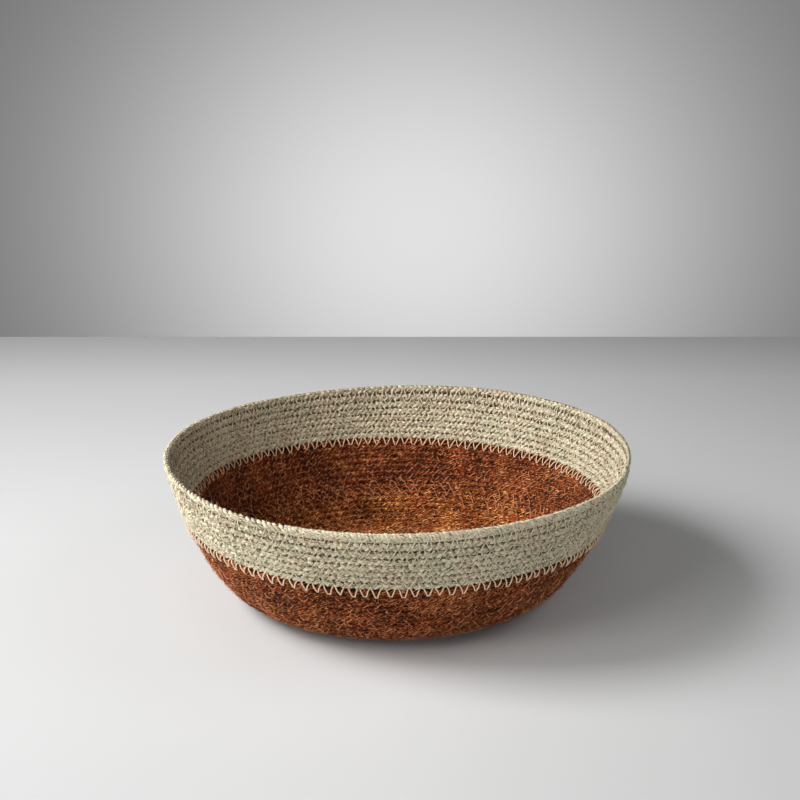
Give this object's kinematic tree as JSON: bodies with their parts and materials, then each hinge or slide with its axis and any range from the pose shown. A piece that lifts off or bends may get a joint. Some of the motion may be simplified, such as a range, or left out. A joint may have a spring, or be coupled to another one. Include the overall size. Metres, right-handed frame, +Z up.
{
  "type": "coiled cord basket",
  "caption": "Round, open storage bowl wound from braided cord: dyed base and lower wall, natural upper wall, with zigzag sewing over the colour change.",
  "frame": {"origin": "on the floor, under the middle of the bowl's outline", "axes": "+Z up through the open mouth, -Y towards the side that the picture shows in front, +X to its right"},
  "size_m": [0.3276, 0.328, 0.1047],
  "materials": {
    "rust_braid": "matte, hairy braided cord dyed rust brown",
    "natural_braid": "matte, hairy braided cord left natural",
    "sewing_thread": "soft satin sewing thread"
  },
  "bodies": {
    "root": {"base_coil": "rust_braid", "heel_coil": "rust_braid", "lower_wall_coil": "rust_braid", "upper_wall_coil": "natural_braid", "seam_thread_outside": "sewing_thread", "seam_thread_inside": "sewing_thread"}
  },
  "joints": []
}
